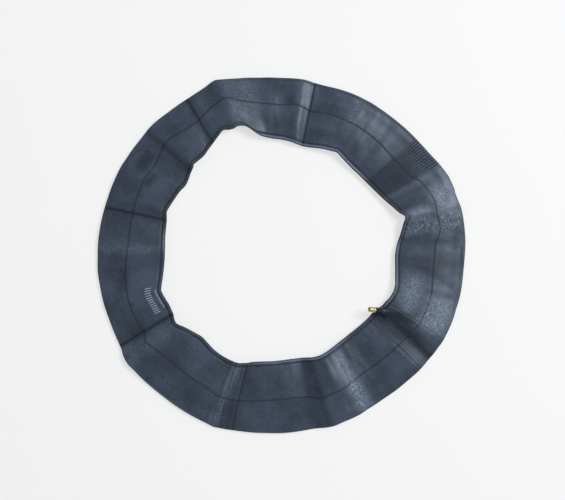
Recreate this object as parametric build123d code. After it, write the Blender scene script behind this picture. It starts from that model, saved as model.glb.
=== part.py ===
from build123d import *
import math
import os

os.makedirs("parts", exist_ok=True)

# ---------------------------------------------------------------- driving sizes, mm and degrees
# The tube lies flat and deflated on the floor, +Z up. Bearings run counter-clockwise from +X.

# plan outline of the flattened ring: bearing, inner edge radius, outer edge radius
OUTLINE = [
    (0, 168.8, 273.8), (5, 171.9, 275.9), (10, 178.8, 276.9), (15, 186.8, 277.4),
    (17.5, 191.9, 276.3), (20, 185.9, 275.9), (21, 184.1, 276.9), (25, 178.5, 276.8),
    (28, 174.6, 274.8), (30, 172.7, 273.3), (35, 169.2, 269.0), (41, 167.0, 266.7),
    (45, 166.5, 266.0), (50, 166.7, 265.2), (55, 168.6, 264.9), (60, 172.2, 265.1),
    (62, 174.2, 264.9), (65, 172.5, 264.9), (70, 170.1, 264.3), (76, 167.0, 263.0),
    (79, 166.7, 263.7), (83, 168.5, 266.0), (85, 170.1, 266.3), (90, 173.4, 266.7),
    (95, 176.0, 268.4), (97, 177.9, 269.1), (100, 181.8, 271.1), (102, 186.9, 272.6),
    (104, 194.6, 273.8), (106, 200.9, 275.7), (109, 204.0, 279.0), (111, 202.7, 281.1),
    (113, 204.0, 279.6), (115, 206.7, 277.7), (118, 202.4, 276.0), (121, 197.9, 275.1),
    (125, 192.8, 274.8), (128, 189.5, 274.7), (130, 189.0, 275.1), (134, 189.6, 276.2),
    (135, 187.2, 276.2), (138, 184.2, 275.7), (141, 180.5, 275.1), (144, 178.8, 275.3),
    (148, 180.8, 275.4), (151, 181.5, 276.2), (155, 182.9, 275.9), (159, 184.4, 275.6),
    (161, 182.4, 275.4), (164, 179.9, 275.7), (170, 177.3, 276.2), (177, 175.4, 276.6),
    (180, 175.5, 276.5), (185, 177.3, 277.5), (190, 181.1, 276.8), (195, 186.8, 276.9),
    (196, 187.8, 276.8), (200, 185.7, 276.3), (204, 183.8, 276.8), (208, 184.4, 277.7),
    (210, 186.2, 278.6), (212, 187.2, 281.1), (214, 184.7, 282.2), (215, 182.4, 282.3),
    (218, 177.6, 280.5), (222, 173.1, 279.2), (226, 170.4, 277.7), (230, 171.6, 276.5),
    (235, 173.6, 276.0), (240, 174.3, 275.6), (245, 174.0, 275.4), (248, 173.0, 276.2),
    (250, 170.7, 274.8), (252, 168.5, 273.5), (254, 165.3, 272.0), (258, 161.6, 269.7),
    (262, 159.2, 267.9), (265, 158.0, 266.6), (270, 155.9, 265.7), (275, 154.8, 264.5),
    (280, 155.1, 263.6), (285, 156.8, 265.7), (287, 158.0, 266.3), (291, 158.7, 264.9),
    (295, 157.5, 264.9), (300, 155.6, 263.3), (305, 154.2, 263.0), (310, 154.1, 264.3),
    (315, 155.0, 265.5), (320, 156.8, 267.8), (325, 158.9, 269.3), (327, 159.6, 270.6),
    (330, 162.0, 271.6), (332, 164.7, 272.3), (334, 167.3, 272.4), (336, 168.6, 272.7),
    (338, 171.3, 272.9), (340, 172.8, 272.9), (343, 174.3, 272.6), (345, 174.2, 273.0),
    (348, 172.5, 273.2), (352, 170.4, 272.9), (355, 169.4, 272.7), (358, 168.8, 273.2),
]

# slack folds across the band: bearing at the inner edge, bearing at the outer edge,
# lift of the underside off the floor at the inner edge, middle and outer edge
FOLDS = [
    (0, 0, 4, 2, 1), (6, 6, 3, 0, 0), (17.3, 15, 14, 9, 4), (28, 28, 6, 2, 0),
    (41.2, 41.7, 4, 1, 1), (48, 50, 4, 2, 1), (62, 62, 9, 5, 3), (74, 72, 6, 3, 1),
    (79.8, 79.3, 3, 0, 0), (83.6, 83.4, 7, 4.5, 3), (90, 90, 5, 2.5, 1),
    (97, 97, 6, 3, 1), (104, 110.7, 13, 9, 6), (114.5, 114.5, 10, 5, 1),
    (121.7, 121.3, 6, 2, 0), (128, 128, 7, 3, 1), (134.7, 136.3, 8, 4, 2),
    (138, 138.7, 3, 1, 0), (143, 142, 1.5, 0.5, 0), (151, 151, 3, 1, 0.5),
    (159, 159, 5, 2, 1), (163.3, 164.8, 2, 0.5, 0), (177, 177, 4, 3, 1.5),
    (186, 186, 3, 1.5, 0.5), (196, 195, 6, 3, 1), (208, 209, 4, 1, 0.5),
    (212, 214.3, 8, 6, 4.5), (226, 226, 2, 1, 0), (238, 240, 3, 2, 1),
    (246.5, 248, 4, 2, 1), (252, 254, 3, 1, 0.5), (262, 262, 6, 4, 2),
    (270, 270, 6, 4, 2), (279.5, 279.5, 3, 1, 0), (286.8, 287, 9, 8, 5),
    (291.5, 291.5, 9, 8, 5), (299, 299, 6, 4, 2), (310, 309, 4, 1, 0),
    (318.8, 318.5, 4, 2.5, 1.5), (323.2, 320.8, 3.5, 3, 2), (327.8, 325.8, 1, 0, 0),
    (331.0, 329.2, 0.5, 1.5, 1), (335.5, 333, 7, 7, 5), (343, 343, 8, 5, 3),
    (352, 352, 5, 3, 1.5),
]

LENGTHS = 24            # the ring is lofted in this many equal lengths, the first from the deepest kink
FIRST_SECTION = 17.3
SECTION_STEP = 2.5      # degrees between the sections that the skin is lofted through
WALL = 1.4              # rubber wall
BEAD = 5.4              # rolled thickness of the folded edges
BEAD_BACK = 5.5         # distance of the crease behind a folded edge
CREASE_T = 4.5          # thickness at that crease
MID_T = 7.2             # thickness in the middle, with the air that is left

# valve, lengths along its own axis from the plane of its foot
VALVE_FOOT = (153.2, -83.0, 7.4)
VALVE_BEARING = 170.3
VALVE_TILT = 41.0       # its axis above the floor
VALVE_LEN = 33.0
HILL_H, HILL_R = 7.4, 11.0   # the swelling of the upper wall round the foot
STEM_R = 3.1            # brass inside the rubber sleeve
SLEEVE_R = 4.3
SLEEVE_TOP = 21.8
BOOT_TOP = 12.4         # where the sleeve begins to flare into the foot
FOOT_R = 9.6
COLLAR_R, COLLAR_TOP = 4.5, 8.8   # the part of the sleeve that fills the hole in the wall
SHOULDER_R, SHOULDER_TOP = 4.08, 23.2
THREAD_R = 3.87         # crest of the 8V1 outside thread
THREAD_ROOT_R = 3.38
THREAD_PITCH = 0.794
THREAD_LO, THREAD_TURNS = 23.55, 11
MOUTH_R = 2.62
CORE_PITCH = 0.7056     # 5V1 core thread
SEAT_HI, SEAT_LO = 24.6, 22.7
CHAMBER_R, CHAMBER_LO = 1.95, 8.0
LOWER_BORE_R = 1.2

PLUG_R, PLUG_ROOT_R, PLUG_LO, PLUG_HI = 2.55, 2.15, 25.3, 30.3
PLUG_BORE_R = 0.74
BARREL_R, BARREL_BORE_R, BARREL_LO, BARREL_HI = 1.55, 1.15, 12.0, 25.2
PIN_R, PIN_HEAD_R, PIN_LO, PIN_HI = 0.5, 0.64, 10.6, 32.3
PIN_COLLAR_R, PIN_COLLAR_LO, PIN_COLLAR_HI = 0.97, 20.2, 21.1
SPRING_WIRE_R, SPRING_R, SPRING_LO, SPRING_HI, SPRING_TURNS = 0.15, 0.83, 13.4, 20.0, 8
CUP_R, CUP_LO, CUP_HI = 1.45, 10.3, 11.5
SEAL_R, SEAL_HI = 1.36, 11.9


# ---------------------------------------------------------------- the flattened ring
def slopes(xs, ys):
    """Monotone cubic slopes, so that no fold rises past its stated height."""
    n = len(xs)
    d = [(ys[i + 1] - ys[i]) / (xs[i + 1] - xs[i]) for i in range(n - 1)]
    m = [d[0]]
    for i in range(1, n - 1):
        if d[i - 1] * d[i] <= 0:
            m.append(0.0)
        else:
            h0, h1 = xs[i] - xs[i - 1], xs[i + 1] - xs[i]
            w0, w1 = 2 * h1 + h0, h1 + 2 * h0
            m.append((w0 + w1) / (w0 / d[i - 1] + w1 / d[i]))
    m.append(d[-1])
    return m


class Curve:
    """A value round the ring, wrapped over the full turn; wrap is what it gains per turn."""

    def __init__(self, xs, ys, wrap=0.0):
        self.xs = [x - 360 for x in xs[-3:]] + list(xs) + [x + 360 for x in xs[:3]]
        self.ys = [y - wrap for y in ys[-3:]] + list(ys) + [y + wrap for y in ys[:3]]
        self.wrap = wrap
        self.m = slopes(self.xs, self.ys)

    def __call__(self, x):
        turns = math.floor(x / 360)
        x -= 360 * turns
        lo, hi = 0, len(self.xs) - 1
        while hi - lo > 1:
            mid = (lo + hi) // 2
            if self.xs[mid] <= x:
                lo = mid
            else:
                hi = mid
        h = self.xs[hi] - self.xs[lo]
        t = (x - self.xs[lo]) / h
        a, b = self.ys[lo], self.ys[hi]
        y = (
            (2 * t**3 - 3 * t**2 + 1) * a + (t**3 - 2 * t**2 + t) * h * self.m[lo]
            + (3 * t**2 - 2 * t**3) * b + (t**3 - t**2) * h * self.m[hi]
        )
        return y + self.wrap * turns


inner_r = Curve([o[0] for o in OUTLINE], [o[1] for o in OUTLINE])
outer_r = Curve([o[0] for o in OUTLINE], [o[2] for o in OUTLINE])
station = [f[0] for f in FOLDS]
outer_bearing = Curve(station, [f[1] for f in FOLDS], 360.0)
lift_in = Curve(station, [f[2] for f in FOLDS])
lift_mid = Curve(station, [f[3] for f in FOLDS])
lift_out = Curve(station, [f[4] for f in FOLDS])


def frame_at(bearing):
    """The inner and outer edge points of the section at an inner bearing."""
    a, b = math.radians(bearing), math.radians(outer_bearing(bearing))
    ri, ro = inner_r(bearing), outer_r(outer_bearing(bearing))
    return (ri * math.cos(a), ri * math.sin(a)), (ro * math.cos(b), ro * math.sin(b))


def lift_at(bearing, s):
    """Height of the underside: a parabola through the three stated lifts."""
    a, m, b = lift_in(bearing), lift_mid(bearing), lift_out(bearing)
    return max(a * (1 - s) * (1 - 2 * s) + 4 * m * s * (1 - s) + b * s * (2 * s - 1), 0.0)


def hill(x, y):
    d2 = (x - VALVE_FOOT[0]) ** 2 + (y - VALVE_FOOT[1]) ** 2
    return HILL_H * math.exp(-d2 / HILL_R**2)


def thickness(d, w):
    """Flattened thickness at distance d behind the inner edge of a band w wide."""
    e = min(d, w - d)
    if e < BEAD_BACK:
        t = max((e - 2.7) / (BEAD_BACK - 2.7), 0.0)
        return BEAD + (CREASE_T - BEAD) * t * t * (3 - 2 * t)
    u = (e - BEAD_BACK) / (w / 2 - BEAD_BACK)
    return CREASE_T + (MID_T - CREASE_T) * math.sin(math.pi / 2 * u)


def section(bearing, cavity):
    """One closed section of the outside of the rubber, or of the air space in it."""
    (x0, y0), (x1, y1) = frame_at(bearing)
    w = math.hypot(x1 - x0, y1 - y0)
    if cavity:
        near = [4.9, 5.7, 7.5, 10.5]
        share = [0.2, 0.35, 0.5, 0.65, 0.8]
    else:
        near = [0.0, 0.35, 1.2, 2.7, 5.5, 9.5]
        share = [0.2, 0.35, 0.5, 0.65, 0.8]
    ds = near + [w * s for s in share] + [w - d for d in reversed(near)]
    top, low = [], []
    for d in ds:
        s = d / w
        x, y = x0 + (x1 - x0) * s, y0 + (y1 - y0) * s
        e = min(d, w - d)
        z, t = lift_at(bearing, s), thickness(d, w)
        up = hill(x, y) * min(1.0, e / 7.0)
        if cavity:
            if e < 5.0:
                hi = lo = z + t / 2
            else:
                g = t - 2 * WALL
                g *= min(1.0, 0.45 + 0.55 * (e - 5.7) / 4.8)
                hi, lo = z + t / 2 + g / 2, z + t / 2 - g / 2
                hi += up
        else:
            if e < 0.1:
                hi = lo = z + BEAD / 2
            elif e < 2.0:
                rise = math.sqrt(2.7**2 - (2.7 - e) ** 2)
                hi, lo = z + BEAD / 2 + rise, z + BEAD / 2 - rise
            else:
                hi, lo = z + t + up, z
        top.append(Vector(x, y, hi))
        low.append(Vector(x, y, lo))
    return Wire(Polyline(*(top + low[-2:0:-1]), close=True).edges())


def stations_between(a, b):
    """Evenly spaced section bearings from a to b, which keeps the skin from rippling."""
    n = math.ceil((b - a) / SECTION_STEP)
    return [a + (b - a) * i / n for i in range(n + 1)]


def ring(cavity):
    """The closed ring, its lofted lengths sharing the sections where they meet."""
    shared, faces = {}, []
    splits = [FIRST_SECTION + 360 * i / LENGTHS for i in range(LENGTHS + 1)]
    for a, b in zip(splits, splits[1:]):
        wires = []
        for x in stations_between(a, b):
            key = round(x % 360, 6)
            if key not in shared:
                shared[key] = section(key, cavity)
            wires.append(shared[key])
        length = Solid.make_loft(wires, False)
        faces += [f for f in length.faces() if f.geom_type != GeomType.PLANE]
    return Solid(Shell(Face.sew_faces(faces)[0]))


outside = ring(False)
inside = ring(True)
box = outside.bounding_box()
SHIFT = Vector(-(box.min.X + box.max.X) / 2, -(box.min.Y + box.max.Y) / 2, -box.min.Z)

# ---------------------------------------------------------------- the valve
bearing, tilt = math.radians(VALVE_BEARING), math.radians(VALVE_TILT)
OUTWARD = Vector(
    math.cos(tilt) * math.cos(bearing), math.cos(tilt) * math.sin(bearing), math.sin(tilt)
)
valve_plane = Plane(
    origin=VALVE_FOOT, x_dir=Vector(-math.sin(bearing), math.cos(bearing), 0), z_dir=OUTWARD
)


def turned(profile):
    """A solid of revolution about the valve's axis from (radius, height) points."""
    wire = Polyline(*[(r, 0, z) for r, z in profile], close=True)
    return revolve(make_face(wire), Axis.Z)


def placed(shape):
    return valve_plane.location * shape


def threaded(lo, pitch, turns, crest, root, land):
    """The outline of a threaded length, drawn as parallel grooves at the pitch."""
    pts = []
    for i in range(turns):
        z = lo + i * pitch
        flank = (pitch - land) / 2
        pts += [(crest, z), (crest, z + land), (root, z + land + flank * 0.85),
                (root, z + land + flank * 1.15)]
    pts.append((crest, lo + turns * pitch))
    pts.append((crest, lo + turns * pitch + land))
    return pts


thread_top = THREAD_LO + THREAD_TURNS * THREAD_PITCH + 0.18
stem_profile = (
    [(LOWER_BORE_R, 0), (3.6, 0), (3.6, 0.9), (STEM_R, 1.3), (STEM_R, SLEEVE_TOP),
     (SHOULDER_R, SLEEVE_TOP), (SHOULDER_R, SHOULDER_TOP), (THREAD_ROOT_R, THREAD_LO - 0.15)]
    + threaded(THREAD_LO, THREAD_PITCH, THREAD_TURNS, THREAD_R, THREAD_ROOT_R, 0.18)
    + [(THREAD_ROOT_R + 0.05, VALVE_LEN - 0.2), (THREAD_ROOT_R - 0.1, VALVE_LEN),
       (2.95, VALVE_LEN), (MOUTH_R, VALVE_LEN - 0.45), (MOUTH_R, SEAT_HI),
       (CHAMBER_R, SEAT_LO), (CHAMBER_R, CHAMBER_LO), (LOWER_BORE_R, CHAMBER_LO - 0.6)]
)
stem_local = turned(stem_profile)

plug_profile = (
    [(PLUG_BORE_R, PLUG_LO), (1.9, PLUG_LO)]
    + threaded(PLUG_LO + 0.2, CORE_PITCH, 4, PLUG_R, PLUG_ROOT_R, 0.17)
    + [(1.95, PLUG_LO + 3.3), (1.95, PLUG_HI), (PLUG_BORE_R, PLUG_HI)]
)
plug_local = turned(plug_profile)
for side in (-1, 1):  # the two flats that a valve key grips
    plug_local -= Pos(side * 2.2, 0, PLUG_HI) * Box(1.8, 6, 3.0)

barrel_local = turned([
    (BARREL_BORE_R, BARREL_HI), (BARREL_R, BARREL_HI), (BARREL_R, 24.5), (1.35, 24.3),
    (1.35, 23.0), (BARREL_R, 22.8), (BARREL_R, BARREL_LO + 0.3), (1.3, BARREL_LO),
    (0.8, BARREL_LO), (0.8, SPRING_LO - 0.2), (BARREL_BORE_R, SPRING_LO - 0.2),
])
seat_slope = (MOUTH_R - CHAMBER_R) / (SEAT_HI - SEAT_LO)
gasket_local = turned([
    (1.37, 23.05), (CHAMBER_R + seat_slope * (23.05 - SEAT_LO) - 0.08, 23.05),
    (CHAMBER_R + seat_slope * (24.25 - SEAT_LO) - 0.08, 24.25), (1.37, 24.25),
])
pin_local = turned([
    (0, PIN_LO), (PIN_R, PIN_LO), (PIN_R, PIN_COLLAR_LO), (PIN_COLLAR_R, PIN_COLLAR_LO),
    (PIN_COLLAR_R, PIN_COLLAR_HI), (PIN_R, PIN_COLLAR_HI), (PIN_R, 31.2),
    (PIN_HEAD_R, 31.4), (PIN_HEAD_R, PIN_HI - 0.2), (0.4, PIN_HI), (0, PIN_HI),
])
cup_local = turned([
    (PIN_R + 0.02, CUP_LO), (CUP_R - 0.2, CUP_LO), (CUP_R, CUP_LO + 0.2), (CUP_R, CUP_HI),
    (PIN_R + 0.02, CUP_HI),
])
seal_local = turned([
    (PIN_R + 0.02, CUP_HI + 0.02), (SEAL_R, CUP_HI + 0.02), (SEAL_R, SEAL_HI),
    (PIN_R + 0.02, SEAL_HI),
])
coil_path = Helix((SPRING_HI - SPRING_LO) / SPRING_TURNS, SPRING_HI - SPRING_LO, SPRING_R)
coil_start = Plane(origin=coil_path @ 0, z_dir=coil_path % 0)
spring_local = Pos(0, 0, SPRING_LO) * sweep(
    coil_start * Circle(SPRING_WIRE_R), path=coil_path, is_frenet=True
)

# the rubber foot and sleeve round the stem: what stands out of the tube's wall
flare = []
for i in range(9):
    t = i / 8
    flare.append((SLEEVE_R + (FOOT_R - SLEEVE_R) * (1 - math.sin(math.pi / 2 * t)) ** 1.25,
                  2.2 + (BOOT_TOP - 2.2) * t))
boot_local = turned(
    [(0, 0.0), (FOOT_R, 0.0)] + flare + [(SLEEVE_R, SLEEVE_TOP - 0.02), (0, SLEEVE_TOP - 0.02)]
)
stem_envelope = turned(
    [(0, -0.01), (3.6, -0.01), (3.6, 0.9), (STEM_R, 1.3), (STEM_R, 40), (0, 40)]
)
sleeve_in_wall = turned([(0, 0.0), (COLLAR_R, 0.0), (COLLAR_R, COLLAR_TOP), (0, COLLAR_TOP)])

boot = placed(boot_local) - outside
boot = max(boot.solids(), key=lambda s: s.volume)
valve_base = boot + placed(sleeve_in_wall)
valve_base = valve_base - placed(stem_envelope)
valve_base = max(valve_base.solids(), key=lambda s: s.volume)

# the wall: outer skin, air-side skin and the round hole through it at the valve's foot
hole = placed(turned([(0, 0), (COLLAR_R, 0), (COLLAR_R, BOOT_TOP), (0, BOOT_TOP)]))
lining = (hole & outside) - inside
skins = [f for f in (outside - hole).faces() if f.geom_type == GeomType.BSPLINE]
skins += [f for f in (inside - hole).faces() if f.geom_type == GeomType.BSPLINE]
skins += [f for f in lining.faces() if f.geom_type == GeomType.CYLINDER]
print("skins", len(skins), [f.geom_type.name for f in lining.faces()])
tube_body = Solid(Shell(Face.sew_faces(skins)[0]))
print("tube", tube_body.is_valid, round(tube_body.volume))

nodes = {
    "tube_body": tube_body,
    "valve_base": valve_base,
    "valve_stem": placed(stem_local),
    "core_plug": placed(plug_local),
    "core_barrel": placed(barrel_local),
    "core_gasket": placed(gasket_local),
    "core_pin": placed(pin_local),
    "core_spring": placed(spring_local),
    "plunger_cup": placed(cup_local),
    "plunger_seal": placed(seal_local),
}
for name, shape in nodes.items():
    solids = shape.solids()
    shape = solids[0] if len(solids) == 1 else Compound(children=list(solids))
    export_step(Pos(SHIFT) * shape, "parts/" + name + ".step")
    b = shape.bounding_box()
    print(name, len(solids), [round(v, 2) for v in (b.size.X, b.size.Y, b.size.Z)])
print("shift", SHIFT, "outward", OUTWARD)
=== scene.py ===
import math

import bmesh
import bpy
import numpy as np
from mathutils import Matrix, Vector


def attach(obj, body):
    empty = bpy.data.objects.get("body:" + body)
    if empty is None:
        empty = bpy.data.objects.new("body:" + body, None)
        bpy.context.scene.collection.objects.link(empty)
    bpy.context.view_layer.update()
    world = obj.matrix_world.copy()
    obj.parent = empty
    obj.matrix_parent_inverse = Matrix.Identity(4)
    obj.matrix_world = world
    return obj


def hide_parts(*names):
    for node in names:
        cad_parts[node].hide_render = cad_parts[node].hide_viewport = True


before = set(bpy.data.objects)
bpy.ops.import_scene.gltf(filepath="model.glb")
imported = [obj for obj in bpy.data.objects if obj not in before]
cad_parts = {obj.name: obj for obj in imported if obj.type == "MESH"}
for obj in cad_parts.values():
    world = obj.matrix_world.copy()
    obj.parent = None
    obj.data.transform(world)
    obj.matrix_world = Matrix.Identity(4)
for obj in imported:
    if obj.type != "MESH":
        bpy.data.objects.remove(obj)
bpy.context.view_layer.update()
rng = np.random.default_rng(7)

# ------------------------------------------------------------------ sizes, millimetres and degrees, as in the CAD
OUTLINE = [
    (0, 168.8, 273.8), (5, 171.9, 275.9), (10, 178.8, 276.9), (15, 186.8, 277.4),
    (17.5, 191.9, 276.3), (20, 185.9, 275.9), (21, 184.1, 276.9), (25, 178.5, 276.8),
    (28, 174.6, 274.8), (30, 172.7, 273.3), (35, 169.2, 269.0), (41, 167.0, 266.7),
    (45, 166.5, 266.0), (50, 166.7, 265.2), (55, 168.6, 264.9), (60, 172.2, 265.1),
    (62, 174.2, 264.9), (65, 172.5, 264.9), (70, 170.1, 264.3), (76, 167.0, 263.0),
    (79, 166.7, 263.7), (83, 168.5, 266.0), (85, 170.1, 266.3), (90, 173.4, 266.7),
    (95, 176.0, 268.4), (97, 177.9, 269.1), (100, 181.8, 271.1), (102, 186.9, 272.6),
    (104, 194.6, 273.8), (106, 200.9, 275.7), (109, 204.0, 279.0), (111, 202.7, 281.1),
    (113, 204.0, 279.6), (115, 206.7, 277.7), (118, 202.4, 276.0), (121, 197.9, 275.1),
    (125, 192.8, 274.8), (128, 189.5, 274.7), (130, 189.0, 275.1), (134, 189.6, 276.2),
    (135, 187.2, 276.2), (138, 184.2, 275.7), (141, 180.5, 275.1), (144, 178.8, 275.3),
    (148, 180.8, 275.4), (151, 181.5, 276.2), (155, 182.9, 275.9), (159, 184.4, 275.6),
    (161, 182.4, 275.4), (164, 179.9, 275.7), (170, 177.3, 276.2), (177, 175.4, 276.6),
    (180, 175.5, 276.5), (185, 177.3, 277.5), (190, 181.1, 276.8), (195, 186.8, 276.9),
    (196, 187.8, 276.8), (200, 185.7, 276.3), (204, 183.8, 276.8), (208, 184.4, 277.7),
    (210, 186.2, 278.6), (212, 187.2, 281.1), (214, 184.7, 282.2), (215, 182.4, 282.3),
    (218, 177.6, 280.5), (222, 173.1, 279.2), (226, 170.4, 277.7), (230, 171.6, 276.5),
    (235, 173.6, 276.0), (240, 174.3, 275.6), (245, 174.0, 275.4), (248, 173.0, 276.2),
    (250, 170.7, 274.8), (252, 168.5, 273.5), (254, 165.3, 272.0), (258, 161.6, 269.7),
    (262, 159.2, 267.9), (265, 158.0, 266.6), (270, 155.9, 265.7), (275, 154.8, 264.5),
    (280, 155.1, 263.6), (285, 156.8, 265.7), (287, 158.0, 266.3), (291, 158.7, 264.9),
    (295, 157.5, 264.9), (300, 155.6, 263.3), (305, 154.2, 263.0), (310, 154.1, 264.3),
    (315, 155.0, 265.5), (320, 156.8, 267.8), (325, 158.9, 269.3), (327, 159.6, 270.6),
    (330, 162.0, 271.6), (332, 164.7, 272.3), (334, 167.3, 272.4), (336, 168.6, 272.7),
    (338, 171.3, 272.9), (340, 172.8, 272.9), (343, 174.3, 272.6), (345, 174.2, 273.0),
    (348, 172.5, 273.2), (352, 170.4, 272.9), (355, 169.4, 272.7), (358, 168.8, 273.2),
]

FOLDS = [
    (0, 0, 4, 2, 1), (6, 6, 3, 0, 0), (17.3, 15, 14, 9, 4), (28, 28, 6, 2, 0),
    (41.2, 41.7, 4, 1, 1), (48, 50, 4, 2, 1), (62, 62, 9, 5, 3), (74, 72, 6, 3, 1),
    (79.8, 79.3, 3, 0, 0), (83.6, 83.4, 7, 4.5, 3), (90, 90, 5, 2.5, 1),
    (97, 97, 6, 3, 1), (104, 110.7, 13, 9, 6), (114.5, 114.5, 10, 5, 1),
    (121.7, 121.3, 6, 2, 0), (128, 128, 7, 3, 1), (134.7, 136.3, 8, 4, 2),
    (138, 138.7, 3, 1, 0), (143, 142, 1.5, 0.5, 0), (151, 151, 3, 1, 0.5),
    (159, 159, 5, 2, 1), (163.3, 164.8, 2, 0.5, 0), (177, 177, 4, 3, 1.5),
    (186, 186, 3, 1.5, 0.5), (196, 195, 6, 3, 1), (208, 209, 4, 1, 0.5),
    (212, 214.3, 8, 6, 4.5), (226, 226, 2, 1, 0), (238, 240, 3, 2, 1),
    (246.5, 248, 4, 2, 1), (252, 254, 3, 1, 0.5), (262, 262, 6, 4, 2),
    (270, 270, 6, 4, 2), (279.5, 279.5, 3, 1, 0), (286.8, 287, 9, 8, 5),
    (291.5, 291.5, 9, 8, 5), (299, 299, 6, 4, 2), (310, 309, 4, 1, 0),
    (318.8, 318.5, 4, 2.5, 1.5), (323.2, 320.8, 3.5, 3, 2), (327.8, 325.8, 1, 0, 0),
    (331.0, 329.2, 0.5, 1.5, 1), (335.5, 333, 7, 7, 5), (343, 343, 8, 5, 3),
    (352, 352, 5, 3, 1.5),
]

BEAD, BEAD_BACK, CREASE_T, MID_T = 5.4, 5.5, 4.5, 7.2
VALVE_FOOT = np.array([153.2, -83.0, 7.4])
HILL_H, HILL_R = 7.4, 11.0
VALVE_BEARING, VALVE_TILT, VALVE_LEN = 170.3, 41.0, 33.0
SLEEVE_R, SLEEVE_TOP, BOOT_TOP, FOOT_R = 4.3, 21.8, 12.4, 9.6
# the tube's box on the floor puts the shared origin under its middle
SHIFT = np.array([0.937126, -0.76192, 0.87271])

# moulding line along the middle of the band: bearing, radius
MID_LINE = [
    (0, 228), (5, 230.3), (7, 235.5), (10, 240), (15, 239.3), (20, 241.5), (25, 238.5),
    (28, 235.5), (33, 225), (42, 221.3), (50, 222.8), (60, 223.5), (70, 223.5), (79, 220.5),
    (81, 223.5), (85, 226.5), (90, 225.8), (95, 228), (100, 232.5), (105, 240), (110, 250.5),
    (115, 246), (120, 240), (125, 237), (130, 240), (135, 243), (140, 238.5), (145, 234),
    (150, 236.3), (155, 234.8), (165, 232.5), (175, 231), (180, 232.5), (185, 235.5),
    (190, 237.8), (197, 239.3), (205, 237.8), (209, 237), (212, 240.8), (215, 237),
    (220, 231.8), (225, 228.8), (232, 228), (240, 227.3), (245, 230.3), (250, 228.8),
    (255, 225), (260, 220.5), (265, 216.8), (270, 214.5), (275, 213.8), (280, 214.5),
    (285, 219.8), (290, 219), (295, 218.3), (300, 215.3), (305, 213), (310, 214.5),
    (315, 216), (320, 218.3), (325, 221.3), (330, 225.8), (333, 228), (340, 229.5),
    (345, 230.3), (350, 228), (355, 226.5),
]


# ------------------------------------------------------------------ round-the-ring curves
class Curve:
    """Monotone cubic through (bearing, value), wrapped over the full turn."""

    def __init__(self, xs, ys, wrap=0.0):
        xs, ys = np.array(xs, float), np.array(ys, float)
        self.xs = np.r_[xs[-3:] - 360, xs, xs[:3] + 360]
        self.ys = np.r_[ys[-3:] - wrap, ys, ys[:3] + wrap]
        self.wrap = wrap
        h = np.diff(self.xs)
        d = np.diff(self.ys) / h
        m = np.zeros(len(self.xs))
        m[0], m[-1] = d[0], d[-1]
        for i in range(1, len(h)):
            if d[i - 1] * d[i] > 0:
                w0, w1 = 2 * h[i] + h[i - 1], h[i] + 2 * h[i - 1]
                m[i] = (w0 + w1) / (w0 / d[i - 1] + w1 / d[i])
        self.m = m

    def __call__(self, x):
        x = np.asarray(x, float)
        turns = np.floor(x / 360)
        x = x - 360 * turns
        k = np.clip(np.searchsorted(self.xs, x, "right") - 1, 0, len(self.xs) - 2)
        h = self.xs[k + 1] - self.xs[k]
        t = (x - self.xs[k]) / h
        y = (
            (2 * t**3 - 3 * t**2 + 1) * self.ys[k] + (t**3 - 2 * t**2 + t) * h * self.m[k]
            + (3 * t**2 - 2 * t**3) * self.ys[k + 1] + (t**3 - t**2) * h * self.m[k + 1]
        )
        return y + self.wrap * turns


O = np.array(OUTLINE, float)
F = np.array(FOLDS, float)
inner_r = Curve(O[:, 0], O[:, 1])
outer_r = Curve(O[:, 0], O[:, 2])
outer_bearing = Curve(F[:, 0], F[:, 1], 360.0)
lift_in, lift_mid, lift_out = (Curve(F[:, 0], F[:, k]) for k in (2, 3, 4))
mid_r = Curve([m[0] for m in MID_LINE], [m[1] for m in MID_LINE])


def smooth(a, b, x):
    t = np.clip((x - a) / (b - a), 0, 1)
    return t * t * (3 - 2 * t)


def bell(x, w):
    return np.exp(-((x / w) ** 2))


def turn_noise(bearing, across, n_round, n_across, seed):
    """Smooth noise, periodic round the ring; across runs 0 to 1. Values about -1 to 1."""
    g = np.random.default_rng(seed).uniform(-1, 1, (n_round, n_across + 3))
    u = (np.asarray(bearing) / 360.0) % 1.0 * n_round
    v = np.clip(across, 0, 1) * n_across
    i, j = np.floor(u).astype(int), np.floor(v).astype(int)
    fu, fv = u - i, v - j
    fu, fv = fu * fu * (3 - 2 * fu), fv * fv * (3 - 2 * fv)
    i0, i1 = i % n_round, (i + 1) % n_round
    j0, j1 = np.clip(j, 0, n_across + 2), np.clip(j + 1, 0, n_across + 2)
    return (
        g[i0, j0] * (1 - fu) * (1 - fv) + g[i1, j0] * fu * (1 - fv)
        + g[i0, j1] * (1 - fu) * fv + g[i1, j1] * fu * fv
    )


# ------------------------------------------------------------------ the tube's skin
RIBS_A, RIBS_B, RIB_COUNT = 29.6, 41.6, 13

# fine lines across the band: bearing at inner edge, at outer edge, width mm, height mm, kind
LINES = [
    (79.8, 79.3, 1.3, -0.9), (121.6, 121.3, 2.4, -0.7), (163.3, 164.8, 2.2, -0.7),
    (208.0, 209.0, 2.2, -0.7), (252.0, 254.0, 1.6, -0.6), (125.2, 125.0, 0.9, 0.2),
    (323.6, 320.8, 0.9, -0.5), (336.0, 332.3, 0.9, -0.5), (334.6, 331.0, 0.8, -0.3),
    (244.0, 247.2, 0.9, -0.45), (245.3, 248.7, 0.9, 0.4), (246.6, 250.1, 0.9, -0.45),
    (250.3, 252.2, 0.8, -0.25), ]


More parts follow.
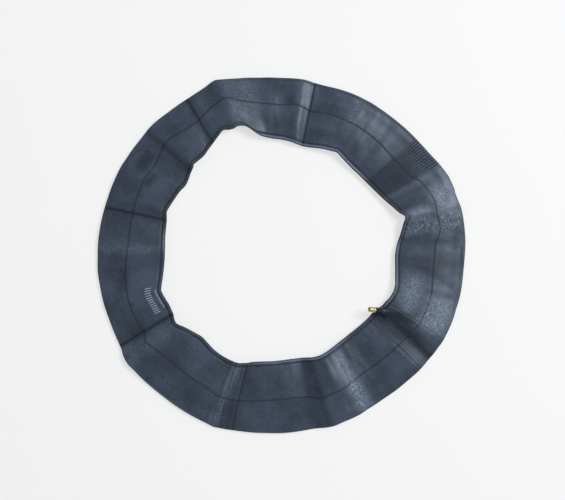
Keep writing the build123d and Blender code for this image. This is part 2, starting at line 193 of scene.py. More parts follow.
def turn_grid():
    """Bearings of the mesh columns: close together at lines and ribs."""
    marks = [0.0]
    fine = [(min(a, b) - 0.5, max(a, b) + 0.5) for a, b, _, _ in LINES]
    x = 0.0
    while x < 360:
        step = 0.44
        if RIBS_A - 0.3 < x < RIBS_B + 0.3:
            step = 0.1
        elif any(lo < x < hi for lo, hi in fine):
            step = 0.22
        x += step
        marks.append(x)
    g = np.array(marks)
    return g[:-1] * 360.0 / g[-1] if g[-1] > 360 else g


U = turn_grid()
U = U * (360.0 / (U[-1] + 0.44)) if U[-1] >= 359.9 else U


def across_grid():
    """Positions across the band as (part, fraction): part 0 inner edge to moulding line, 1 from there to the outer edge."""
    edge = [0, 0.15, 0.5, 1.1, 1.9, 2.7, 3.5, 4.2, 4.8, 5.3, 5.9, 6.6, 7.6, 9.2, 11.0]
    line = [0.0, 0.35, 0.7, 1.1, 1.7, 2.6, 4.0]
    return edge, line


EDGE, LINE = across_grid()


def rows_of(w, dm):
    """Distances from the inner edge for every mesh row of the upper skin, one array per column."""
    n_a, n_b = 15, 16
    cols = []
    for e in EDGE:
        cols.append(np.full_like(w, e))
    lo, hi = EDGE[-1], dm - LINE[-1]
    for i in range(1, n_a):
        cols.append(lo + (hi - lo) * i / n_a)
    for l in reversed(LINE[1:]):
        cols.append(dm - l)
    cols.append(dm)
    for l in LINE[1:]:
        cols.append(dm + l)
    lo, hi = dm + LINE[-1], w - EDGE[-1]
    for i in range(1, n_b):
        cols.append(lo + (hi - lo) * i / n_b)
    for e in reversed(EDGE):
        cols.append(w - e)
    return np.array(cols)


def thickness(d, w):
    """The inner folded edge has a rolled bead with a crease behind it; the outer edge is plain."""
    plain = 4.5 + 1.0 * smooth(2.0, 14.0, w - d)
    e = np.minimum(d, w - d)
    t = np.clip((e - 2.7) / (BEAD_BACK - 2.7), 0, 1)
    near = BEAD + (CREASE_T - BEAD) * t * t * (3 - 2 * t)
    u = np.clip((e - BEAD_BACK) / (w / 2 - BEAD_BACK), 0, 1)
    t_in = np.where(e < BEAD_BACK, near, CREASE_T + (MID_T - CREASE_T) * np.sin(np.pi / 2 * u))
    share = smooth(w - 30.0, w - 10.0, d)
    return t_in * (1 - share) + np.minimum(plain, t_in + 1.0) * share


a_in = np.radians(U)
b_out = np.radians(outer_bearing(U))
P0 = np.stack([inner_r(U) * np.cos(a_in), inner_r(U) * np.sin(a_in)], -1)
P1 = np.stack([outer_r(np.degrees(b_out)) * np.cos(b_out), outer_r(np.degrees(b_out)) * np.sin(b_out)], -1)
W = np.hypot(*(P1 - P0).T)


def mid_distance():
    """How far along each section the moulding line crosses it."""
    out = np.empty(len(U))
    s = np.linspace(0.1, 0.9, 161)
    for k in range(len(U)):
        p = P0[k] + (P1[k] - P0[k]) * s[:, None]
        r = np.hypot(p[:, 0], p[:, 1])
        f = r - mid_r(np.degrees(np.arctan2(p[:, 1], p[:, 0])))
        j = np.argmax(f > 0)
        j = max(j, 1)
        t = -f[j - 1] / (f[j] - f[j - 1])
        out[k] = (s[j - 1] + (s[j] - s[j - 1]) * t) * W[k]
    return out


DM = mid_distance()
D = rows_of(W, DM)                 # rows x columns
S = D / W
E = np.minimum(D, W - D)
X = P0[:, 0] + (P1[:, 0] - P0[:, 0]) * S
Y = P0[:, 1] + (P1[:, 1] - P0[:, 1]) * S
PHI = np.degrees(np.arctan2(Y, X)) % 360
R = np.hypot(X, Y)
UU = np.broadcast_to(U, S.shape)

a, m, b = lift_in(U), lift_mid(U), lift_out(U)
LIFT = np.maximum(a * (1 - S) * (1 - 2 * S) + 4 * m * S * (1 - S) + b * S * (2 * S - 1), 0.0)
T = thickness(D, W)
hill = HILL_H * np.exp(-((X - VALVE_FOOT[0]) ** 2 + (Y - VALVE_FOOT[1]) ** 2) / HILL_R**2)
hill *= np.clip(E / 7.0, 0, 1)

# relief of the upper skin, mm
relief = np.zeros_like(S)
inner_band = smooth(3.0, 8.0, E)


def line_distance(p_in, p_out):
    """Distance along the ring from a line across the band, mm."""
    ang = p_in + (p_out - p_in) * S
    return (((PHI - ang + 180) % 360) - 180) * np.pi / 180 * R


for p_in, p_out, width, height in LINES:
    d = line_distance(p_in, p_out)
    relief += height * bell(d, width * 0.75) * np.clip(E / 2.5, 0, 1)
# ribbed patch
ang = UU
phase = (PHI - RIBS_A) / (RIBS_B - RIBS_A)
inside_ribs = smooth(-0.02, 0.03, phase) * (1 - smooth(0.97, 1.02, phase))
rib = 0.5 - 0.5 * np.cos(2 * np.pi * phase * RIB_COUNT)
relief += 0.6 * (rib - 0.5) * inside_ribs * smooth(1.5, 4.0, E)
# moulding line: a low ridge with a groove on its inner side, knurled where the mould was knurled
dl = D - DM
knurl = smooth(328, 331, PHI) * (1 - smooth(344, 347, PHI))
ridge = 0.03 + knurl * (0.45 + 0.35 * np.sin(PHI * np.pi / 180 * R / 0.45))
relief += (ridge * bell(dl - 0.35, 0.5) - (0.12 + 0.25 * knurl) * bell(dl + 0.3, 0.8)) * (1 - 0.6 * inside_ribs)
# the step behind the rolled inner edge, and the fine line inside the outer edge
relief += -0.6 * bell(D - 5.9, 0.9)
outer_line = smooth(36, 42, PHI) * (1 - smooth(104, 110, PHI))
relief += -0.45 * bell((W - D) - 3.6, 0.6) * outer_line
# slack waves and puckers
relief += 0.8 * turn_noise(UU, S, 64, 3, 11) * inner_band
relief += 0.26 * turn_noise(UU, S, 170, 5, 12) * inner_band
relief += 0.05 * turn_noise(UU, S, 420, 16, 13) * inner_band
relief += 0.3 * turn_noise(UU, S, 150, 2, 14) * inner_band * (1 - smooth(6, 30, D))
# distance from a line across the band from 258 to 263 degrees; nothing uses it
d = line_distance(258.0, 263.0)

top_z = LIFT + T + hill + relief
rise = np.sqrt(np.clip(2.7**2 - (2.7 - np.minimum(E, 2.7)) ** 2, 0, None))
edge_t = np.where(D < W / 2, BEAD, 4.5)
bead_hi = LIFT + BEAD / 2 + rise * (edge_t - BEAD / 2) / 2.7
Z = np.where(E < 2.7, bead_hi + relief * (E / 2.7), top_z)

# lower skin: fewer rows, same two edges
low_d = [np.full_like(W, e) for e in (0.4, 1.3, 2.7, 5.5)] + [W * q for q in (0.15, 0.25, 0.35, 0.45, 0.55, 0.65, 0.75, 0.85)]
low_d += [W - e for e in (5.5, 2.7, 1.3, 0.4)]
LD = np.array(low_d)
LS = LD / W
LE = np.minimum(LD, W - LD)
LX = P0[:, 0] + (P1[:, 0] - P0[:, 0]) * LS
LY = P0[:, 1] + (P1[:, 1] - P0[:, 1]) * LS
LL = np.maximum(a * (1 - LS) * (1 - 2 * LS) + 4 * m * LS * (1 - LS) + b * LS * (2 * LS - 1), 0.0)
lrise = np.sqrt(np.clip(2.7**2 - (2.7 - np.minimum(LE, 2.7)) ** 2, 0, None))
LZ = LL + BEAD / 2 - lrise - 0.82 * np.clip(LE / 2.7, 0, 1)

n_top, n_col = D.shape
n_low = LD.shape[0]
top_pts = np.stack([X, Y, Z], -1).reshape(-1, 3)
low_pts = np.stack([LX, LY, LZ], -1).reshape(-1, 3)
pts = (np.r_[top_pts, low_pts] + SHIFT) / 1000.0
pts[:, 2] = np.maximum(pts[:, 2], 0.0)

loop_rows = [r * n_col for r in range(n_top)] + [n_top * n_col + r * n_col for r in reversed(range(n_low))]
faces = []
cols = np.arange(n_col)
nxt = (cols + 1) % n_col
quads = []
for r0, r1 in zip(loop_rows, loop_rows[1:] + loop_rows[:1]):
    quads.append(np.stack([r0 + cols, r1 + cols, r1 + nxt, r0 + nxt], -1))
quads = np.concatenate(quads)

tube = bpy.data.meshes.new("tube_skin")
tube.from_pydata(pts.tolist(), [], quads.tolist())
tube.update()
tube_ob = bpy.data.objects.new("tube_skin", tube)
bpy.context.collection.objects.link(tube_ob)
bm = bmesh.new()
bm.from_mesh(tube)
bmesh.ops.recalc_face_normals(bm, faces=bm.faces)
bm.to_mesh(tube)
bm.free()
tube.polygons.foreach_set("use_smooth", np.ones(len(tube.polygons), bool))


def put(name, top, low=0.0):
    """A value per point for the material to read."""
    at = tube.attributes.new(name, "FLOAT", "POINT")
    vals = np.r_[np.asarray(top, float).reshape(-1), np.full(low_pts.shape[0], low)]
    at.data.foreach_set("value", vals)


# ------------------------------------------------------------------ wear, talc, stains, painted shade and painted highlights
def patch(p_lo, p_hi, soft, r_lo, r_hi, r_soft):
    """A soft-edged patch between two bearings and two shares of the band's width."""
    mid = ((p_lo + p_hi) / 2) % 360
    half = ((p_hi - p_lo) % 360) / 2
    dist = np.abs(((PHI - mid + 180) % 360) - 180)
    return (1 - smooth(half - soft, half + soft, dist)) * smooth(r_lo - r_soft, r_lo + r_soft, S) * (1 - smooth(r_hi - r_soft, r_hi + r_soft, S))


# Scuff mask: pale talc scuffs, and painted sheen where the glossy rubber faces the light
scuff_and_sheen = np.zeros_like(S)
for p, k in (
    (patch(8, 16, 3, 0.45, 1.0, 0.1), 0.85), (patch(15.5, 25, 3, 0.6, 1.0, 0.12), 0.85), (patch(15.8, 19.5, 1.6, 0.06, 0.5, 0.12), 0.9),
    (patch(334, 352, 4, 0.12, 0.42, 0.12), 0.75), (patch(332, 345, 3, 0.5, 0.95, 0.12), 0.9),
    (patch(345, 354, 4, 0.5, 1.0, 0.15), 0.2), (patch(9, 16, 2, 0.04, 0.5, 0.1), 0.8), (patch(104, 110, 2, 0.04, 0.6, 0.1), 0.6), (patch(296.5, 301.5, 1.6, 0.1, 0.98, 0.12), 1.0),
    (patch(60, 65, 2, 0.4, 1.0, 0.2), 0.5), (patch(80.5, 84, 1.8, 0.05, 0.98, 0.08), 0.3),
    (patch(98, 110, 4, 0.3, 1.0, 0.2), 0.45), (patch(175.5, 179, 1.5, 0.1, 1.0, 0.1), 0.35),
    (patch(210, 216, 2, 0.2, 1.0, 0.1), 0.3), (patch(246, 249, 0.8, 0.05, 0.98, 0.05), 0.45),
    (patch(321, 325, 1.2, 0.45, 1.0, 0.1), 0.3), (patch(116, 122, 3, 0.2, 0.9, 0.2), 0.2),
):
    scuff_and_sheen = np.maximum(scuff_and_sheen, p * k)

# Dark mask: real stains and blotches, plus painted shade in the fold valleys and on panels tilted away from the light
# (about 4-8, 20-28, 136-145 and 321-335 degrees)
stain_and_shade = np.zeros_like(S)
for p, k in (
    (patch(136, 145, 1.5, 0.05, 0.95, 0.1), 0.45), (patch(141, 149, 2, 0.62, 0.84, 0.06), 0.8),
    (patch(147, 153, 1.5, 0.42, 0.55, 0.06), 0.7), (patch(184, 191, 2, 0.55, 0.68, 0.05), 0.6),
    (patch(66, 76, 2.5, 0.15, 0.32, 0.06), 0.5), (patch(66, 76, 2.5, 0.58, 0.75, 0.05), 0.5),
    (patch(85, 89, 1.2, 0.58, 0.72, 0.05), 0.6), (patch(92, 94, 1, 0.2, 0.35, 0.06), 0.5),
    (patch(278, 287, 2, 0.0, 1.0, 0.1), 0.35), (patch(306, 316, 4, 0.15, 0.75, 0.15), 0.38), (patch(258, 292, 3, 0.15, 0.45, 0.1), 0.25), (patch(20, 28, 3, 0.0, 0.4, 0.1), 0.3), (patch(30, 41, 1.5, 0.5, 1.0, 0.1), 0.66), (patch(321, 327, 2, 0.0, 0.75, 0.15), 0.5), (patch(29.8, 41.4, 1.0, 0.02, 1.0, 0.04), 0.50),
    (patch(4, 8, 1.5, 0.2, 1.0, 0.1), 0.4), (patch(160, 166, 1.5, 0.1, 1.0, 0.1), 0.35),
    (patch(206, 210, 1.5, 0.1, 1.0, 0.1), 0.35), (patch(250, 255, 1.5, 0.1, 1.0, 0.1), 0.35),
    (patch(119, 123, 1.2, 0.05, 1.0, 0.1), 0.45), (patch(327, 335, 1.5, -0.2, 0.42, 0.16), 0.85),
):
    stain_and_shade = np.maximum(stain_and_shade, p * k)

# painted shade in the deep fold valley beside the valve
painted_valley_shade = bell(line_distance(331.3, 325.6), 7.0 + 6.0 * (1 - S))
stain_and_shade = np.maximum(stain_and_shade, painted_valley_shade)
# dark bands across the band: stain bands at 121.9, 163.3, 208.2 and 252 degrees; painted shade beside the folds at
# 17.3, 137 and 357 degrees
for p_in, p_out, width, k in (
    (121.9, 121.5, 3.6, 0.95), (163.3, 164.8, 3.4, 0.9), (208.2, 209.2, 3.4, 0.9),
    (252.0, 254.0, 2.2, 0.5), (79.4, 78.9, 1.7, 0.65), (250.6, 252.5, 1.4, 0.3),
    (60.0, 59.0, 6.0, 0.25), (17.3, 15.0, 3.0, 0.3), (357.0, 358.0, 14.0, 0.4),
    (308.0, 306.0, 14.0, 0.3), (285.0, 285.5, 7.0, 0.55), (137.0, 137.5, 9.0, 0.55),
):
    stain_and_shade = np.maximum(stain_and_shade, k * bell(line_distance(p_in, p_out), width))
# painted shade on the inner half of the slope that faces the light beside the valve valley
stain_and_shade = np.maximum(stain_and_shade, 0.8 * bell(line_distance(326.3, 323.4), 10.0) * (1 - smooth(0.45, 0.85, S)))
stain_and_shade = np.maximum(stain_and_shade, 0.8 * bell(line_distance(336.5, 334.0), 9.0) * (1 - smooth(0.12, 0.35, S)))
# painted shade in the creases: behind the bead, along the moulding line, at the outer fine line, in the sunk lines and
# between the ribs
crease_shade = np.zeros_like(S)
crease_shade += 0.95 * bell(D - 6.0, 1.2)
crease_shade += 0.95 * bell(dl + 0.2, 1.45)
crease_shade += 0.7 * bell((W - D) - 3.6, 0.8) * outer_line
for p_in, p_out, width, height in LINES:
    if height < 0:
        crease_shade += 0.8 * bell(line_distance(p_in, p_out), width * 0.8)
crease_shade += inside_ribs * 0.55 * (1 - rib) ** 2
put("scuff_and_sheen", np.clip(scuff_and_sheen, 0, 1), 0.1)
put("crease_shade", np.clip(crease_shade, 0, 1), 0.0)
put("round_mm", np.radians(PHI) * 225.0, 0.0)
put("across_mm", D, 0.0)
shine = smooth(328, 336, PHI) + (1 - smooth(4, 10, PHI)) + smooth(40, 46, PHI) * (1 - smooth(96, 104, PHI))
shine += smooth(166, 172, PHI) * (1 - smooth(175, 180, PHI)) + smooth(250, 258, PHI) * (1 - smooth(303, 312, PHI))
# painted highlight along the rolled inner bead, strongest on the stretches that shine marks
painted_sheen = np.clip(bell(D - 2.9, 1.2) * (0.02 + 0.98 * np.clip(shine, 0, 1)), 0, 1)
# painted shade along the rolled inner edge, weaker where the bead catches the light
painted_edge_shade = bell(D - 0.6, 2.2) * (1 - 0.6 * np.clip(shine, 0, 1)) * 0.6
# painted sheen patches where the glossy rubber faces the light
painted_sheen = np.maximum(painted_sheen, 0.75 * bell(line_distance(300.6, 298.4), 3.2) * smooth(0.03, 0.12, S))
for p, k in (
    (patch(340, 349, 4, 0.10, 0.40, 0.14), 0.35), (patch(332, 344, 4, 0.60, 0.92, 0.16), 0.40),
    (patch(15.8, 20, 1.8, 0.03, 0.45, 0.16), 0.45), (patch(16, 25, 3, 0.62, 0.95, 0.14), 0.30),
    (patch(104, 110, 2.5, 0.02, 0.5, 0.12), 0.35), (patch(297, 302, 2, 0.03, 0.95, 0.1), 0.30),
):
    painted_sheen = np.maximum(painted_sheen, p * k)
# painted highlights on the rib crests, the knurled moulding ridge and the outer edge from 212 to 244 degrees
painted_sheen = np.maximum(painted_sheen, 0.42 * rib**4 * inside_ribs * smooth(0.25, 0.7, S))
painted_sheen = np.maximum(painted_sheen, 0.9 * bell(dl - 0.35, 0.7) * knurl * (0.5 + 0.5 * np.sin(PHI * np.pi / 180 * R / 0.45)))
painted_sheen = np.maximum(painted_sheen, 0.6 * bell(W - D - 1.0, 1.2) * smooth(212, 218, PHI) * (1 - smooth(236, 244, PHI)))
put("painted_sheen", painted_sheen, 0.0)
put("stain_and_shade", np.clip(np.maximum(stain_and_shade, painted_edge_shade), 0, 1), 0.2)


# ------------------------------------------------------------------ materials
def new_material(name):
    mat = bpy.data.materials.new(name)
    mat.use_nodes = True
    nt = mat.node_tree
    return mat, nt, nt.nodes["Principled BSDF"]


def node(nt, kind, **sockets):
    n = nt.nodes.new(kind)
    for k, v in sockets.items():
        n.inputs[k].default_value = v
    return n


def attr(nt, name):
    n = nt.nodes.new("ShaderNodeAttribute")
    n.attribute_name = name
    return n.outputs["Fac"]


def math_node(nt, op, a, b=None, clamp=False):
    n = nt.nodes.new("ShaderNodeMath")
    n.operation = op
    n.use_clamp = clamp
    for i, v in enumerate((a, b)):
        if v is None:
            continue
        if isinstance(v, (int, float)):
            n.inputs[i].default_value = v
        else:
            nt.links.new(v, n.inputs[i])
    return n.outputs[0]


def mix_colour(nt, fac, c0, c1):
    n = nt.nodes.new("ShaderNodeMix")
    n.data_type = "RGBA"
    if isinstance(fac, (int, float)):
        n.inputs[0].default_value = fac
    else:
        nt.links.new(fac, n.inputs[0])
    for i, c in ((6, c0), (7, c1)):
        if isinstance(c, tuple):
            n.inputs[i].default_value = (*c, 1)
        else:
            nt.links.new(c, n.inputs[i])
    return n.outputs[2]


def ramp(nt, fac, p0, p1):
    n = nt.nodes.new("ShaderNodeMapRange")
    n.interpolation_type = "SMOOTHSTEP"
    nt.links.new(fac, n.inputs[0])
    n.inputs[1].default_value = p0
    n.inputs[2].default_value = p1
    return n.outputs[0]


def noise(nt, vec, scale, detail=3.0, rough=0.5):
    n = node(nt, "ShaderNodeTexNoise", Scale=scale, Detail=detail, Roughness=rough)
    nt.links.new(vec, n.inputs["Vector"])
    return n.outputs["Fac"]


def rubber(name, base, haze, with_wear_and_painted_light):
    mat, nt, bsdf = new_material(name)
    co = nt.nodes.new("ShaderNodeTexCoord").outputs["Object"]
    broad = noise(nt, co, 22.0, 4, 0.55)
    mottled = noise(nt, co, 75.0, 4, 0.55)
    grain = noise(nt, co, 1500.0, 3, 0.6)
    dark = tuple(c * 0.72 for c in base)
    light = tuple(c * 1.28 for c in base)
    colour = mix_colour(nt, ramp(nt, broad, 0.3, 0.7), dark, light)
    colour = mix_colour(nt, math_node(nt, "MULTIPLY", ramp(nt, mottled, 0.45, 0.75), 0.22), colour, haze)
    rough = math_node(nt, "ADD", math_node(nt, "MULTIPLY", broad, 0.16), math_node(nt, "MULTIPLY", mottled, 0.14))
    rough = math_node(nt, "ADD", rough, 0.205)
    height = math_node(nt, "MULTIPLY", grain, 0.12)
    # wear, talc, stains and print, with painted shade and painted highlights
    if with_wear_and_painted_light:
        scuff_and_sheen_fac, stain_and_shade_fac, crease_shade_fac, painted_sheen_fac = (attr(nt, k) for k in ("scuff_and_sheen", "stain_and_shade", "crease_shade", "painted_sheen"))
        streak_v = nt.nodes.new("ShaderNodeCombineXYZ")
        nt.links.new(attr(nt, "round_mm"), streak_v.inputs[0])
        nt.links.new(attr(nt, "across_mm"), streak_v.inputs[1])
        scaled = nt.nodes.new("ShaderNodeVectorMath")
        scaled.operation = "MULTIPLY"
        scaled.inputs[1].default_value = (0.16, 0.55, 1)
        nt.links.new(streak_v.outputs[0], scaled.inputs[0])
        streak = noise(nt, scaled.outputs[0], 1.0, 6, 0.65)
        speck = noise(nt, co, 420.0, 4, 0.7)
        # pale talc streaks, partly a painted sheen
        chalk_and_sheen = math_node(nt, "MULTIPLY", ramp(nt, math_node(nt, "ADD", math_node(nt, "MULTIPLY", streak, 0.75), math_node(nt, "MULTIPLY", speck, 0.25)), 0.40, 0.66), scuff_and_sheen_fac)
        colour = mix_colour(nt, math_node(nt, "MULTIPLY", chalk_and_sheen, 0.75), colour, (0.30, 0.345, 0.40))
        # bright specks: talc specks mixed with painted glints
        chalk_and_glint_specks = math_node(nt, "MULTIPLY", ramp(nt, math_node(nt, "ADD", math_node(nt, "MULTIPLY", speck, 0.6), math_node(nt, "MULTIPLY", streak, 0.4)), 0.535, 0.60), ramp(nt, scuff_and_sheen_fac, 0.45, 0.95))
        colour = mix_colour(nt, math_node(nt, "MULTIPLY", chalk_and_glint_specks, 0.6), colour, (0.44, 0.50, 0.57))
        # stains, plus the painted shade that the stain mask carries
        blot = math_node(nt, "MULTIPLY", ramp(nt, streak, 0.36, 0.62), stain_and_shade_fac)
        colour = mix_colour(nt, math_node(nt, "MULTIPLY", math_node(nt, "ADD", math_node(nt, "MULTIPLY", blot, 0.45), math_node(nt, "MULTIPLY", stain_and_shade_fac, 0.55)), 0.95, True), colour, (0.0035, 0.0045, 0.006))
        # painted shade in the creases
        colour = mix_colour(nt, math_node(nt, "MULTIPLY", crease_shade_fac, 0.70), colour, (0.008, 0.009, 0.011))
        # painted highlights and sheen
        colour = mix_colour(nt, math_node(nt, "MULTIPLY", painted_sheen_fac, 0.55), colour, (0.22, 0.26, 0.32))
        worn = math_node(nt, "MULTIPLY", ramp(nt, math_node(nt, "ADD", math_node(nt, "MULTIPLY", streak, 0.55), math_node(nt, "MULTIPLY", mottled, 0.45)), 0.53, 0.60), 0.5)
        colour = mix_colour(nt, worn, colour, (0.014, 0.018, 0.024))
        # a rub-off print, reduced to two rows of plain strokes
        mark = None
        for mid_round, half_round, mid_across, half_across, pitch, duty in (
            (782.3, 22.7, 21.0, 4.6, 3.8, 0.42), (782.3, 17.0, 8.6, 1.5, 2.3, 0.5),
        ):
            on_round = math_node(nt, "LESS_THAN", math_node(nt, "ABSOLUTE", math_node(nt, "SUBTRACT", attr(nt, "round_mm"), mid_round)), half_round)
            on_across = math_node(nt, "LESS_THAN", math_node(nt, "ABSOLUTE", math_node(nt, "SUBTRACT", attr(nt, "across_mm"), mid_across)), half_across)
            stroke = math_node(nt, "LESS_THAN", math_node(nt, "FRACT", math_node(nt, "DIVIDE", attr(nt, "round_mm"), pitch)), duty)
            one = math_node(nt, "MULTIPLY", math_node(nt, "MULTIPLY", on_round, on_across), stroke)
            mark = one if mark is None else math_node(nt, "MAXIMUM", mark, one)
        colour = mix_colour(nt, math_node(nt, "MULTIPLY", mark, math_node(nt, "ADD", math_node(nt, "MULTIPLY", ramp(nt, speck, 0.4, 0.6), 0.35), 0.4)), colour, (0.42, 0.48, 0.54))
        rough = math_node(nt, "ADD", rough, math_node(nt, "MULTIPLY", math_node(nt, "MAXIMUM", stain_and_shade_fac, crease_shade_fac), 0.34))
        rough = math_node(nt, "ADD", rough, math_node(nt, "MULTIPLY", chalk_and_sheen, 0.10))
        rough = math_node(nt, "ADD", rough, math_node(nt, "MULTIPLY", streak, 0.14))
        rough = math_node(nt, "SUBTRACT", rough, 0.05)
        height = math_node(nt, "ADD", height, math_node(nt, "MULTIPLY", streak, 0.4))
    nt.links.new(colour, bsdf.inputs["Base Color"])
    nt.links.new(rough, bsdf.inputs["Roughness"])
    bump = node(nt, "ShaderNodeBump", Strength=0.2, Distance=0.0005)
    nt.links.new(height, bump.inputs["Height"])
    nt.links.new(bump.outputs[0], bsdf.inputs["Normal"])
    bsdf.inputs["Specular IOR Level"].default_value = 0.31
    return mat


def metal(name, base, dirt, rough_lo, lines=900.0):
    mat, nt, bsdf = new_material(name)
    co = nt.nodes.new("ShaderNodeTexCoord").outputs["Object"]
    tarnish = noise(nt, co, 260.0, 4, 0.6)
    fine = noise(nt, co, lines * 3, 2, 0.5)
    colour = mix_colour(nt, ramp(nt, tarnish, 0.42, 0.72), base, dirt)
    rough = math_node(nt, "ADD", math_node(nt, "MULTIPLY", tarnish, 0.25), rough_lo)
    nt.links.new(colour, bsdf.inputs["Base Color"])
    nt.links.new(rough, bsdf.inputs["Roughness"])
    bsdf.inputs["Metallic"].default_value = 1.0
    bump = node(nt, "ShaderNodeBump", Strength=0.2, Distance=0.0001)
    nt.links.new(fine, bump.inputs["Height"])
    nt.links.new(bump.outputs[0], bsdf.inputs["Normal"])
    return mat


tube_mat = rubber("tube_rubber_worn_painted_light", (0.0475, 0.0600, 0.0830), (0.102, 0.124, 0.156), True)
boot_mat = rubber("valve_rubber_moulded", (0.010, 0.014, 0.021), (0.024, 0.032, 0.045), False)
seal_mat = rubber("seal_rubber", (0.16, 0.03, 0.025), (0.22, 0.06, 0.05), False)
brass_mat = metal("stem_brass_turned", (0.87, 0.76, 0.42), (0.60, 0.47, 0.22), 0.34)
core_mat = metal("core_brass_turned", (0.74, 0.62, 0.36), (0.45, 0.34, 0.17), 0.32)
pin_mat = metal("pin_brass_drawn", (0.90, 0.84, 0.70), (0.66, 0.58, 0.42), 0.36)
spring_mat = metal("spring_wire", (0.58, 0.58, 0.59), (0.36, 0.35, 0.34), 0.25)

tube.materials.append(tube_mat)
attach(tube_ob, "tube")
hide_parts("tube_body")


# ------------------------------------------------------------------ the valve
tilt, bear = math.radians(VALVE_TILT), math.radians(VALVE_BEARING)
OUT = Vector((math.cos(tilt) * math.cos(bear), math.cos(tilt) * math.sin(bear), math.sin(tilt)))
SIDE = Vector((-math.sin(bear), math.cos(bear), 0))
UPV = OUT.cross(SIDE)
FOOT = (Vector(VALVE_FOOT.tolist()) + Vector(SHIFT.tolist())) / 1000.0


def valve_point(r, ang, z):
    """A point by radius, angle and height along the valve, mm, in the shared frame in metres."""
    return FOOT + (SIDE * (r * math.cos(ang)) + UPV * (r * math.sin(ang)) + OUT * z) / 1000.0


def turned(name, profile, n=72, mat=None, slot=None, closed=True):
    """A surface of revolution about the valve from a closed (radius, height) outline."""
    verts, faces_ = [], []
    k = len(profile)
    for i in range(n):
        for r, z in profile:
            verts.append(valve_point(r, 2 * math.pi * i / n, z))
    for i in range(n):
        j = (i + 1) % n
        for q in range(k if closed else k - 1):
            p = (q + 1) % k
            faces_.append((i * k + q, j * k + q, j * k + p, i * k + p))
    me = bpy.data.meshes.new(name)
    me.from_pydata(verts, [], faces_)
    ob = bpy.data.objects.new(name, me)
    bpy.context.collection.objects.link(ob)
    bmx = bmesh.new()
    bmx.from_mesh(me)
    bmesh.ops.remove_doubles(bmx, verts=bmx.verts, dist=1e-7)
    bmesh.ops.dissolve_degenerate(bmx, edges=bmx.edges, dist=1e-8)
    bmesh.ops.recalc_face_normals(bmx, faces=bmx.faces)
    bmx.to_mesh(me)
    bmx.free()
    me.polygons.foreach_set("use_smooth", np.ones(len(me.polygons), bool))
    if mat:
        me.materials.append(mat)
    return ob


# rubber foot and sleeve: one turned moulding that sinks into the tube's swelling
flare = []
for i in range(15):
    t = i / 14
    r = SLEEVE_R + (FOOT_R - SLEEVE_R) * (1 - math.sin(math.pi / 2 * t)) ** 1.25
    flare.append((r, 1.6 + (BOOT_TOP - 1.6) * t))
boot_outline = [(3.12, -0.4), (FOOT_R - 0.4, -0.4), (FOOT_R + 0.15, 0.2)] + flare
boot_outline += [(SLEEVE_R, z) for z in (14, 16, 18, 20.9)] + [(4.26, 21.4), (4.12, 21.66), (3.9, 21.76), (3.12, 21.76)]
boot = turned("valve_boot", boot_outline, 96, boot_mat)
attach(boot, "tube")
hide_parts("valve_base")

# brass stem with its helical outside thread
PITCH, CREST, ROOT = 0.794, 3.87, 3.38
Z_LO, Z_HI = 23.55, 32.1
N = 96


def thread_radius(z, ang):
    if z < Z_LO - 0.2 or z > Z_HI + 0.25:
        return None
    ph = ((z - Z_LO) / PITCH - ang / (2 * math.pi)) % 1.0
    tri = abs(ph - 0.5) * 2                      # 1 at a crest, 0 at a root
    t = min(max((tri - 0.12) / 0.68, 0.0), 1.0)
    fade = min(1.0, max(0.0, (z - (Z_LO - 0.2)) / 0.4)) * min(1.0, max(0.0, (Z_HI + 0.25 - z) / 0.45))
    return ROOT + (CREST - ROOT) * t * fade


zs = np.arange(Z_LO - 0.2, Z_HI + 0.26, PITCH / 10)
outline = [(1.2, 0.0), (3.0, 0.0), (3.08, 0.3), (3.08, SLEEVE_TOP), (3.93, SLEEVE_TOP), (4.08, SLEEVE_TOP + 0.15), (4.08, 23.05), (3.95, 23.2), (ROOT + 0.02, 23.3)]
after = [(ROOT - 0.03, 32.55), (ROOT - 0.12, 32.9), (ROOT - 0.22, 33.0), (3.0, 33.0), (2.9, 32.95), (2.62, 32.55), (2.62, 24.6), (1.95, 22.7), (1.95, 8.0), (1.2, 7.4)]
verts, faces_ = [], []
rows = len(outline) + len(zs) + len(after)
for i in range(N):
    ang = 2 * math.pi * i / N
    for r, z in outline:
        verts.append(valve_point(r, ang, z))
    for z in zs:
        verts.append(valve_point(thread_radius(z, ang) or ROOT, ang, z))
    for r, z in after:
        verts.append(valve_point(r, ang, z))
for i in range(N):
    j = (i + 1) % N
    for q in range(rows):
        p = (q + 1) % rows
        faces_.append((i * rows + q, j * rows + q, j * rows + p, i * rows + p))
me = bpy.data.meshes.new("valve_stem_turned")
me.from_pydata(verts, [], faces_)
stem = bpy.data.objects.new("valve_stem_turned", me)
bpy.context.collection.objects.link(stem)
bm = bmesh.new()
bm.from_mesh(me)
bmesh.ops.recalc_face_normals(bm, faces=bm.faces)
bm.to_mesh(me)
bm.free()
me.polygons.foreach_set("use_smooth", np.ones(len(me.polygons), bool))
me.materials.append(brass_mat)
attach(stem, "tube")
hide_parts("valve_stem")

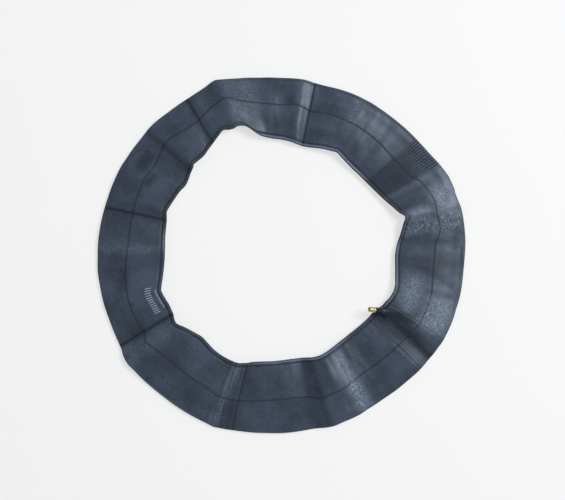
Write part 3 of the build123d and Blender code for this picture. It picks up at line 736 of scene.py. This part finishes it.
for name, mat in {
    "core_plug": core_mat, "core_barrel": core_mat, "core_gasket": seal_mat, "core_pin": pin_mat,
    "core_spring": spring_mat, "plunger_cup": core_mat, "plunger_seal": seal_mat,
}.items():
    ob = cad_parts[name]
    if not ob.material_slots:
        ob.data.materials.append(mat)
    for sl in ob.material_slots:
        sl.material = mat

# ------------------------------------------------------------------ floor, light, camera
floor_me = bpy.data.meshes.new("floor")
floor_me.from_pydata([(-6, -6, 0), (6, -6, 0), (6, 6, 0), (-6, 6, 0)], [], [(0, 1, 2, 3)])
floor = bpy.data.objects.new("floor", floor_me)
bpy.context.collection.objects.link(floor)
floor.location.z = -0.0003
fmat, fnt, fb = new_material("floor_paper")
fco = fnt.nodes.new("ShaderNodeTexCoord").outputs["Object"]
fn = noise(fnt, fco, 3.0, 2, 0.5)
fnt.links.new(mix_colour(fnt, fn, (0.345, 0.320, 0.295), (0.353, 0.327, 0.302)), fb.inputs["Base Color"])
fb.inputs["Emission Color"].default_value = (1, 1, 1, 1)
fb.inputs["Emission Strength"].default_value = 0.617
fb.inputs["Roughness"].default_value = 0.9
fb.inputs["Specular IOR Level"].default_value = 0.1
floor_me.materials.append(fmat)

scene = bpy.context.scene
world = bpy.data.worlds.new("studio")
scene.world = world
world.use_nodes = True
bg = world.node_tree.nodes["Background"]
bg.inputs[0].default_value = (0.90, 0.97, 1.07, 1)
bg.inputs[1].default_value = 0.40
scene.view_settings.view_transform = "Standard"
scene.view_settings.look = "None"


def area(name, loc, target, size, power, colour=(1, 1, 1)):
    li = bpy.data.lights.new(name, "AREA")
    li.energy = power
    li.size = size
    li.color = colour
    ob = bpy.data.objects.new(name, li)
    bpy.context.collection.objects.link(ob)
    ob.location = loc
    ob.rotation_euler = (Vector(target) - Vector(loc)).to_track_quat("-Z", "Y").to_euler()
    return ob


area("key", (1.88, 0.90, 2.70), (0, 0, 0), 1.35, 82, (0.90, 0.985, 1.09))

cam = bpy.data.cameras.new("camera")
cam.sensor_width = 36.0
H = 1.75
cam.lens = 36.0 * H / 0.8490
cam_ob = bpy.data.objects.new("camera", cam)
bpy.context.collection.objects.link(cam_ob)
cam_ob.location = (0.0015, 0.0079, H)
cam_ob.rotation_euler = (0, 0, 0)
scene.camera = cam_ob
